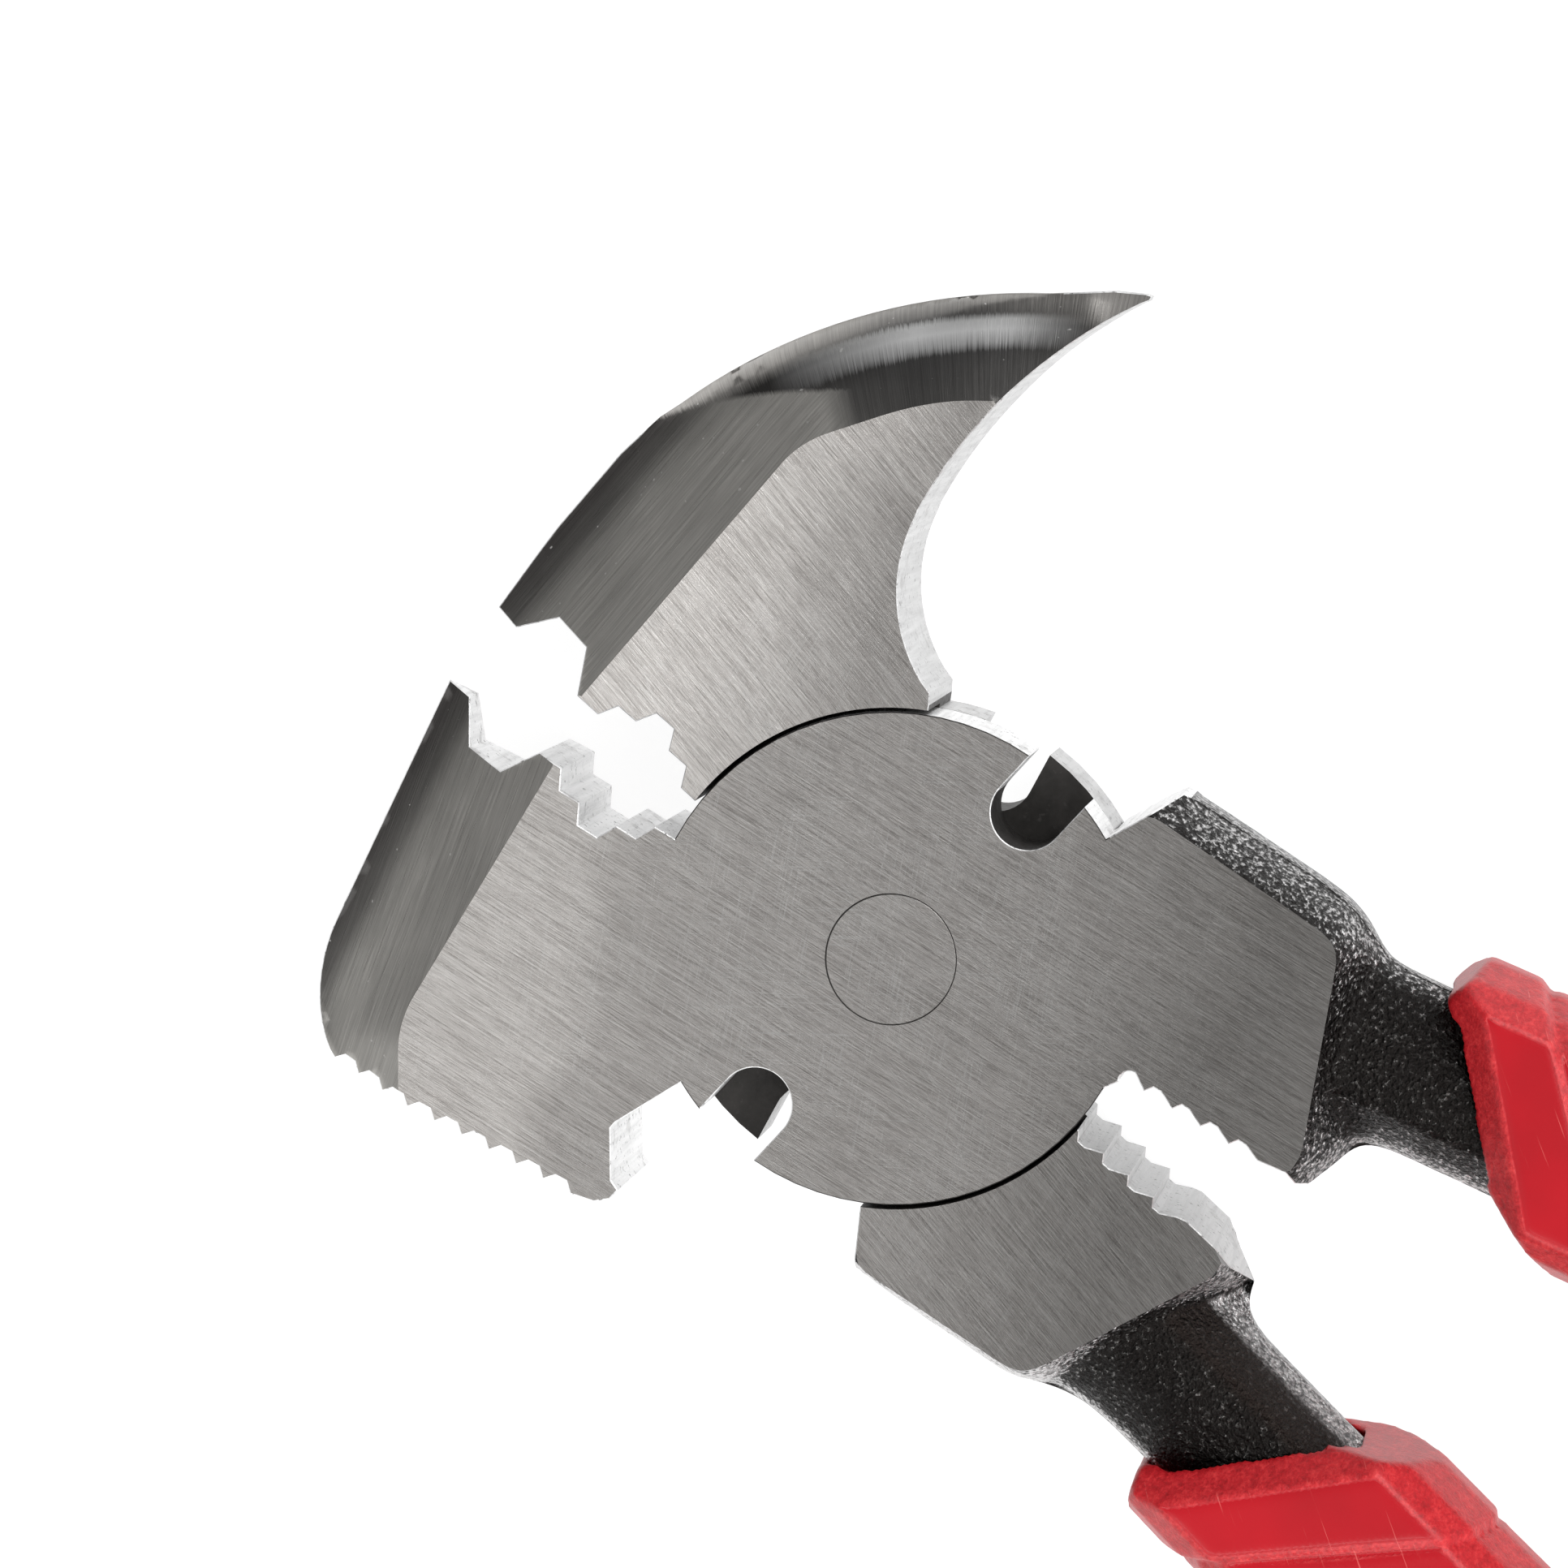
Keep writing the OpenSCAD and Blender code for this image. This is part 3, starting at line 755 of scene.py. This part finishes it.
    def build(self, name, mats, turn):
        """The half's closed mesh: the sheet in front and behind, with walls between them."""
        rim, vs, tris, origin = self.sheet()
        directed = dict.fromkeys((int(t[i]), int(t[(i + 1) % 3])) for t in tris for i in range(3))
        border = [e for e in directed if (e[1], e[0]) not in directed]
        outer = self.on_outline(rim, vs, border, origin)
        at = {u: i for i, u in enumerate(outer)}
        op = np.array(list(outer.values()))
        rolled = np.array([self.roll_radius(q) > ROLLED for q in op])
        h, oh = self.height(vs), self.height(vs[list(outer)]) - np.where(rolled, 0.02, EDGE)
        verts = np.vstack([np.column_stack([vs, MID + h]), np.column_stack([vs, MID - h]),
                           np.column_stack([op, MID + oh]), np.column_stack([op, MID - oh])])
        n, m = len(vs), len(op)
        faces, index = [], []
        c = vs[tris].mean(1)
        flat = np.where(c[:, 1] > FRONT_Y, self.drop(c) < 0, (self.off_face(c) < 0) | (c[:, 1] > REAR_Y))
        for t, ground, y in zip(tris, flat, c[:, 1]):
            faces += [tuple(t), tuple(x + n for x in t[::-1])]
            k = GROUND if ground else (FORGED if y < SKIN_Y else BEVEL)
            index += [k, k]
        for u, v in border:
            i, j = at[u] + 2 * n, at[v] + 2 * n
            middle = (op[at[u]] + op[at[v]]) / 2
            if self.roll_radius(middle) > ROLLED:
                wall = edge = FORGED if middle[1] < SKIN_Y else BEVEL
            else:
                wall = WALL
                edge = LAP if abs(np.linalg.norm(middle) - DISC_R) < 0.25 else WALL
            faces += [(v, u, i, j), (j, i, i + m, j + m), (j + m, i + m, u + n, v + n)]
            index += [edge, wall, edge]
        self.uneven(verts)
        o = new_object(name, turned(verts, turn), faces, mats, index)
        bm = bmesh.new()
        bm.from_mesh(o.data)
        bmesh.ops.remove_doubles(bm, verts=bm.verts, dist=2e-7)
        bmesh.ops.dissolve_degenerate(bm, edges=bm.edges, dist=1e-7)
        bm.to_mesh(o.data)
        bm.free()
        return o


# ground flats of the handle blocks, in plan
HAMMER_GROUND = [[12, -6.6], [21.45, -11.75], [20.7, -28.8], [20.2, -30.2], [19.2, -30.9], [4.2, -36.8],
                 [-1, -36.4], [-1, -12]]
CLAW_GROUND = [[-12, -8], [-17.3, -11.8], [-20.7, -14.1], [-21, -15.1], [-19, -29.4], [-18.3, -30.6],
               [-17, -31.3], [-2, -36.8], [1, -36.3], [1, -12]]
HAMMER_AXIS, HAMMER_LEAN = (15, -46), 7             # handles: start, lean in degrees
CLAW_AXIS, CLAW_LEAN = (-11.8, -48.5), -4
LAP_GAP = 0.05                                      # half the gap between the plates
PIVOT_HOLE, TURNING_HOLE = 4.84, 4.86               # rivet hole, in the half it is fixed to or turns in
PLATE_CUT = 0.21                                    # outlines are taken this far from mid thickness
HORN, HORN_R = np.array([10.3, -4.5]), 47.3         # circle of the claw's outer edge


def hammer_forged(q):
    return q[1] < -13.0 and not (q[0] < 3.4 and q[1] > -38.2)


def hammer_roll(q):
    return 1.7 if q[1] < -13.6 and not (q[0] < 3.4 and q[1] > -38.6) else 0.0


def claw_forged(q):
    return q[1] < -14.6 and not (q[0] > -3.4 and q[1] > -39.4)


def claw_roll(q):
    if q[1] < -14.9:
        return 0.0 if q[0] > -3.4 and q[1] > -39.6 else 1.7
    if q[0] > 18 and q[1] > 19.9 and ((q - HORN) ** 2).sum() > HORN_R ** 2:
        return 2.2 * min(1.0, (q[0] - 18) / 12, max(0.0, 50 - q[0]) / 8)
    return 0.0


hammer = Half(
    node="hammer_half", cut_z=MID + PLATE_CUT, turn=0.0, ground=HAMMER_GROUND, flank=1.8,
    bridge=(18.9, -34.4, 1.0), crease_from=(-14, 20),
    planes=[((0, 32), 90, 0.6, 0), ((-27.3, 31.5), 121.5, 0.6, 0), ((-9, 41), 95, 0.95, 0.6 * 9.1)],
    axis=HAMMER_AXIS, lean=HAMMER_LEAN, side=1, is_forged=hammer_forged, roll=hammer_roll)
claw = Half(
    node="claw_half", cut_z=MID - PLATE_CUT, turn=TURN, ground=CLAW_GROUND, flank=3.0,
    bridge=(-14.2, -36.6, 3.0), crease_from=(20, 22),
    planes=[((0, 33.3), 90, 0.6, 0), ((27, 33.3), 59, 0.68, 0), ((36.3, 27.9), 40, 0.55, 0),
            ((46.5, 22), 0, 0.92, 0), ((0, 42), 90, 0.95, 0.6 * 8.8)],
    axis=CLAW_AXIS, lean=CLAW_LEAN, side=-1, is_forged=claw_forged, roll=claw_roll)

lap_face = mating("lap_face", 0.6)
# the ground faces' stops paint a reflection that lightens each face towards the jaws
ground_a = brushed("ground_steel_a", math.pi / 2, 0.11, (0.12, 0.135), (0.34, 0.24), (0.67, 0.32),
                   (0.79, 0.37), (0.85, 0.48), (0.95, 0.52))
ground_b = brushed("ground_steel_b", math.radians(72), 0.57, (0.12, 0.14), (0.34, 0.235), (0.64, 0.335),
                   (0.73, 0.53), (0.84, 0.72))
# painted light: the hammer half's walls, in the shaded jaw gap, are made lighter (1.32), the claw half's,
# with the lit hook, darker (0.89)
hammer_mats = [ground_a, polished("polished_bevel_a", 0.2, 0.4), machined("machined_wall_a", 0.2, 1.32),
               forged("forging_skin_a", 0.3, -0.05), lap_face]
claw_mats = [ground_b, polished("polished_bevel_b", -0.16, 0.9, centre=tuple(turned(HORN / 1000, TURN))),
             # the claw's forging skin is painted in shade on its +X facets, its glitter leaned towards -X
             machined("machined_wall_b", 0.5, 0.89), forged("forging_skin_b", 0.8, -0.15, shaded=0.85),
             lap_face]

LAP_LOW, LAP_HIGH = MID - LAP_GAP, MID + LAP_GAP
HOLE_WIDE = 5.6                                     # reaches past the rivet hole's chamfer
HOLE_RIM = 5.44                                     # chamfered rim, at the outer faces
CHAMFER = 0.6
NOTCH_R = 16.2                                      # notch walls are inner walls up to here


def finish_half(o, lap_z):
    """The lap's faces, rivet hole and notches' inner walls get the dark mating material, a painted shade.
    """
    bm = bmesh.new()
    bm.from_mesh(o.data)
    for f in bm.faces:
        c = f.calc_center_median() * 1000
        r = math.hypot(c.x, c.y)
        level = abs(c.z - lap_z) < 0.01 and abs(f.normal.z) > 0.99
        upright = abs(f.normal.z) < 0.05 and (abs(r - CUT_R) < 0.05 or HOLE_WIDE < r < NOTCH_R)
        if level or upright or (r < HOLE_WIDE and 0.02 < c.z < TOP - 0.02):
            f.material_index = LAP
    bm.to_mesh(o.data)
    bm.free()
    shade(o, 26, soft=(FORGED, BEVEL))


def waffle(top, bottom):
    """Six V grooves across the striking face, which runs between two points in plan."""
    along = unit(bottom - top)
    inward = np.array([-along[1], along[0]])
    verts, faces = [], []
    pitch, depth, half = 2.5, 0.8, 1.3
    for i in range(6):
        z = MID + (i - 2.5) * pitch
        k = len(verts)
        for end in (top - along, bottom):
            for d, w in ((-1.0, half), (depth, 0.0), (-1.0, -half)):
                x, y = end + inward * d
                verts.append((x, y, z + w))
        faces += [(k, k + 1, k + 2), (k + 5, k + 4, k + 3), (k, k + 3, k + 4, k + 1),
                  (k + 1, k + 4, k + 5, k + 2), (k + 2, k + 5, k + 3, k)]
    return faced_out(new_object("waffle_grooves", verts, faces, []))


head = hammer.build("hammer_head", hammer_mats, 0.0)
cut(head, lathe("claw_plate_recess", [(CUT_R, -2), (CUT_R, LAP_HIGH)]))
cut(head, lathe("rivet_hole", [
    (HOLE_WIDE, -2), (HOLE_WIDE, 0.0), (HOLE_RIM, 0.0), (PIVOT_HOLE, CHAMFER),
    (PIVOT_HOLE, TOP - CHAMFER), (HOLE_RIM, TOP), (HOLE_WIDE, TOP), (HOLE_WIDE, TOP + 2)], 96))
cut(head, waffle(np.array([-32.7, 35.4]), np.array([-30.9, 12.4])))
finish_half(head, LAP_HIGH)
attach(head, "hammer_side")
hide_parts("hammer_half")

horn = claw.build("claw_head", claw_mats, TURN)
cut(horn, lathe("hammer_plate_recess", [(CUT_R, LAP_LOW), (CUT_R, TOP + 2)]))
cut(horn, lathe("turning_hole", [
    (HOLE_WIDE, -2), (HOLE_WIDE, 0.0), (HOLE_RIM, 0.0), (TURNING_HOLE, CHAMFER), (TURNING_HOLE, TOP)], 96))
finish_half(horn, LAP_LOW)
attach(horn, "claw_side")
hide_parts("claw_half")

# flush rivet with its rims just broken
rivet = lathe("rivet", [(5.30, 0.0), (5.36, 0.05), (4.79, 0.62), (4.79, TOP - 0.62), (5.36, TOP - 0.05),
                        (5.30, TOP)], 96)
rivet.data.materials.append(ground_a)
shade(rivet, 20)
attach(rivet, "hammer_side")
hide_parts("pivot_rivet")


# ------------------------------------------------------------------ grips

RED = moulded_red("moulded_red", 0.2)
BLACK = soft_black("soft_black", 0.7)
BEND_R, CURVE_LEAN = 720.0, math.radians(1.2)       # the bow of a grip
GRIP_W = 21.0
GROOVE = 0.42                                       # collar groove, deep and half wide
INLAY_FROM, INLAY_TO = -34.0, -136.0
RIBS_FROM, RIBS_TO, RIB_PITCH = -40, -130, 5.2
RIB_HIGH, PANEL_SUNK = 0.55, 0.18                   # ribs above the panel, panel below the grip


def to_handle(p, axis, lean, side, turn):
    """Row place at rest -> the handle's own frame, +X outer, -Y along it."""
    q = turned(p, -turn)
    q = q - np.array([axis[0], axis[1], 0.0])
    q = turned(q, -math.radians(lean))
    q[:, 0] *= side
    return q


def from_handle(p, axis, lean, side, turn):
    """The handle's own frame -> row place at rest."""
    q = np.array(p, float)
    q[:, 0] *= side
    q = turned(q, math.radians(lean)) + np.array([axis[0], axis[1], 0.0])
    return turned(q, turn)


def grip(node, name, axis, lean, side, turn):
    """The CAD grip, remeshed so that its ridges and mouth are softly rounded."""
    src = frame["nodes"][node]
    o = bpy.data.objects.new(name, src.data.copy())
    bpy.context.scene.collection.objects.link(o)
    bm = bmesh.new()
    bm.from_mesh(o.data)
    bmesh.ops.remove_doubles(bm, verts=bm.verts, dist=1e-6)
    bm.to_mesh(o.data)
    bm.free()
    m = o.modifiers.new("r", "REMESH")
    m.mode, m.voxel_size, m.adaptivity = "VOXEL", 0.00042, 0.0
    settled(o)
    me = o.data
    n = len(me.vertices)
    co = np.empty(n * 3)
    me.vertices.foreach_get("co", co)
    co = co.reshape(-1, 3)
    e = np.array([x.vertices[:] for x in me.edges])
    deg = np.bincount(e.ravel(), minlength=n)[:, None]
    for _ in range(2):
        s = np.zeros_like(co)
        np.add.at(s, e[:, 0], co[e[:, 1]])
        np.add.at(s, e[:, 1], co[e[:, 0]])
        co += 0.6 * (s / deg - co)
    # parting groove behind the guard collar, along the line from a to b
    q = to_handle(co * 1000, axis, lean, side, turn)
    a, b = np.array([14, 0.4]), np.array([-14, -21.6])
    u = unit(b - a)
    off = (q[:, 0] - a[0]) * u[1] - (q[:, 1] - a[1]) * u[0]
    g = np.exp(-((off / GROOVE) ** 2)) * GROOVE
    curve_x = -(q[:, 1] ** 2) / (2 * BEND_R) + math.tan(CURVE_LEAN) * -q[:, 1]
    rel = np.stack([q[:, 0] - curve_x, q[:, 2] - MID], 1)
    outer = (np.abs(rel[:, 0]) > 8.2) | (np.abs(rel[:, 1]) > 7.2)       # not inside the mouth
    r = unit(rel)
    q[:, 0] -= np.where(outer, g * r[:, 0], 0)
    q[:, 2] -= np.where(outer, g * r[:, 1], 0)
    co = from_handle(q, axis, lean, side, turn) / 1000
    me.vertices.foreach_set("co", co.ravel())
    me.materials.clear()
    me.materials.append(RED)
    me.polygons.foreach_set("use_smooth", np.ones(len(me.polygons), bool))
    me.update()
    return o


def inlay(name, axis, lean, side, turn):
    """Soft outer panel with shallow ribs across it."""
    x = GRIP_W / 2 + 0.3
    section = np.array([[x - 2.1, 7], [x - 1.3, 6.2], [x, 1.6], [x, -1.6], [x - 1.3, -6.2], [x - 2.1, -7],
                        [x - 3.3, -5.4], [x - 2.3, -1], [x - 2.3, 1], [x - 3.3, 5.4]])
    section = densified(section, lambda m: 0.8)
    outer = np.clip((section[:, 0] - (x - 1.7)) / 1.0, 0, 1)
    c, s = math.cos(CURVE_LEAN), math.sin(CURVE_LEAN)
    verts, faces = [], []
    stations = np.linspace(INLAY_FROM - 0.05, INLAY_TO + 0.05, 260)
    for y in stations:
        wave = 0.5 - 0.5 * math.cos(2 * math.pi * (y - RIBS_FROM) / RIB_PITCH)
        rib = min(1.0, wave * 1.8) if RIBS_TO < y < RIBS_FROM else 0.0
        fade = min(1.0, (INLAY_FROM - y) / 1.2, (y - INLAY_TO) / 1.2)
        a = y / BEND_R
        for (sx, sz), w in zip(section, outer):
            r = BEND_R + sx + w * (RIB_HIGH * rib - PANEL_SUNK) * fade - w * 0.5 * (1 - fade)
            bx, by = r * math.cos(a) - BEND_R, r * math.sin(a)
            verts.append((c * bx - s * by, s * bx + c * by, MID + sz))
    k, last = len(section), len(stations) - 1
    for i in range(last):
        for j in range(k):
            a, b = i * k + j, i * k + (j + 1) % k
            faces.append((a, b, b + k, a + k))
    faces.append(tuple(range(k))[::-1])
    faces.append(tuple(last * k + j for j in range(k)))
    verts = from_handle(np.array(verts), axis, lean, side, turn)
    return shade(faced_out(new_object(name, verts, faces, [BLACK])), 40)


for body, node, axis, lean, side, turn in (
        ("hammer_side", "hammer_grip", HAMMER_AXIS, HAMMER_LEAN, 1, 0.0),
        ("claw_side", "claw_grip", CLAW_AXIS, CLAW_LEAN, -1, TURN)):
    o = grip(node, node + "_moulding", axis, lean, side, turn)
    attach(o, body)
    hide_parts(node)
    o = inlay(node + "_panel", axis, lean, side, turn)
    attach(o, body)
    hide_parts(node + "_inlay")


# ------------------------------------------------------------------ stage, light and camera

def area(name, place, size, power):
    """Soft square light that points at the head."""
    light = bpy.data.lights.new(name, "AREA")
    light.shape, light.size, light.size_y, light.energy = "RECTANGLE", size, size, power
    o = bpy.data.objects.new(name, light)
    o.location = place
    o.rotation_mode = "QUATERNION"
    o.rotation_quaternion = (-Vector(place)).to_track_quat("-Z", "Y")
    bpy.context.scene.collection.objects.link(o)


def around(azimuth, elevation, distance):
    """Place at that direction from the head: azimuth from +X towards +Y."""
    a, e = math.radians(azimuth), math.radians(elevation)
    out = distance * math.cos(e)
    return (out * math.cos(a), out * math.sin(a), distance * math.sin(e))


floor_z, half = cad_lo.z * 1000 - 0.05, 1500
corners = [(x * half, y * half, floor_z) for x, y in ((-1, -1), (1, -1), (1, 1), (-1, 1))]
floor = new_object("floor", corners, [(0, 1, 2, 3)], [])
pale = Tree("pale_floor")
pale.set(Base_Color=pale.ramp(pale.noise(0.3, 2, 0.5), (0.3, 0.18), (0.7, 0.20)))
pale.set(Roughness=0.9, Specular_IOR_Level=0.1)
pale.set(Emission_Color=(1, 1, 1, 1), Emission_Strength=0.9)        # it glows, like a light table
floor.data.materials.append(pale.mat)

area("key", around(-10, 42, 1.0), 0.6, 6)
area("fill", around(-75, 48, 1.0), 0.8, 7)
area("back", around(200, 42, 1.0), 0.7, 5)

# a white tent with a grey card overhead and a darker grey side beyond the jaws
world = bpy.data.worlds.new("studio")
bpy.context.scene.world = world
world.use_nodes = True
wt = world.node_tree
wt.nodes.clear()


def toward(azimuth, elevation, *stops):
    """Brightness by the angle from a direction, as (degrees, value) stops."""
    v = wt.nodes.new("ShaderNodeVectorMath")
    v.operation = "DOT_PRODUCT"
    wt.links.new(wt.nodes.new("ShaderNodeTexCoord").outputs["Generated"], v.inputs[0])
    v.inputs[1].default_value = around(azimuth, elevation, 1.0)
    a = wt.nodes.new("ShaderNodeMath")
    a.operation = "ARCCOSINE"
    wt.links.new(v.outputs["Value"], a.inputs[0])
    d = wt.nodes.new("ShaderNodeMath")
    d.operation = "DIVIDE"
    wt.links.new(a.outputs[0], d.inputs[0])
    d.inputs[1].default_value = math.pi
    r = wt.nodes.new("ShaderNodeValToRGB")
    wt.links.new(d.outputs[0], r.inputs["Fac"])
    e = r.color_ramp.elements
    while len(e) < len(stops):
        e.new(0.5)
    for i, (degrees, value) in enumerate(stops):
        e[i].position = degrees / 180
        e[i].color = (value, value, value, 1)
    return r.outputs["Color"]


tent = wt.nodes.new("ShaderNodeMix")
tent.data_type, tent.blend_type = "RGBA", "MULTIPLY"
tent.inputs[0].default_value = 1.0
wt.links.new(toward(-90, 84, (0, 0.34), (10, 0.43), (28, 0.92), (48, 1.0)), tent.inputs[6])
wt.links.new(toward(80, 25, (0, 0.32), (38, 0.36), (62, 1.0)), tent.inputs[7])
sky = wt.nodes.new("ShaderNodeBackground")
wt.links.new(tent.outputs[2], sky.inputs["Color"])
sky.inputs["Strength"].default_value = 0.95
wt.links.new(sky.outputs[0], wt.nodes.new("ShaderNodeOutputWorld").inputs["Surface"])

cam = bpy.data.cameras.new("camera")
cam.lens, cam.sensor_width = 147.279, 36
cam.clip_start, cam.clip_end = 0.01, 20
camera = bpy.data.objects.new("camera", cam)
bpy.context.scene.collection.objects.link(camera)
eye, look = Vector((86.3, -24.7, 533)), Vector((7.6078, 14.9619, 16))
up = Vector((0.84386, 0.52932, -0.08784))
back = (eye - look).normalized()
right = up.cross(back).normalized()
axes = Matrix((right, back.cross(right), back)).transposed().to_4x4()
camera.matrix_world = Matrix.Translation(eye / 1000) @ axes
bpy.context.scene.camera = camera
bpy.context.scene.view_settings.view_transform = "Standard"
